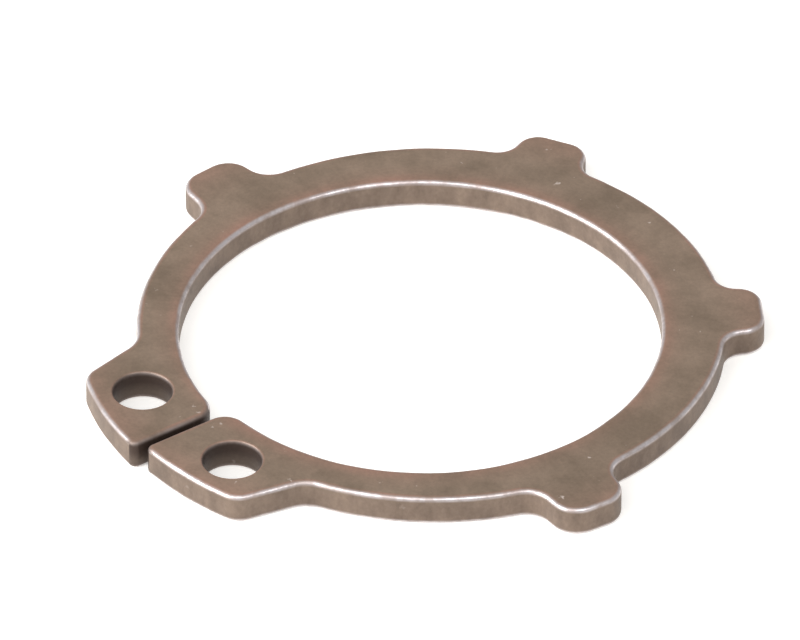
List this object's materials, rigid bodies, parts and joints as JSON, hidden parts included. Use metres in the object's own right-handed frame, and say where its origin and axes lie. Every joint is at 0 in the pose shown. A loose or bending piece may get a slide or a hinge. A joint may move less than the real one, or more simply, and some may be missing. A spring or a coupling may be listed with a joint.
{
  "type": "external retaining ring with lugs",
  "caption": "Open spring-steel ring that snaps into a shaft groove to hold a bearing, with outer lugs round its rim and eared ends for pliers.",
  "frame": {"origin": "centre of the bore on the lower flat face", "axes": "+Z along the bore axis out of the upper face, -Y towards the gap between the ears, X across the mirror plane of the two halves"},
  "size_m": [0.0264, 0.025, 0.0012],
  "materials": {
    "spring_steel": "tumbled spring steel with a thin brown-grey phosphate and oil finish, satin"
  },
  "bodies": {
    "root": {"retaining_ring": "spring_steel"}
  },
  "joints": []
}
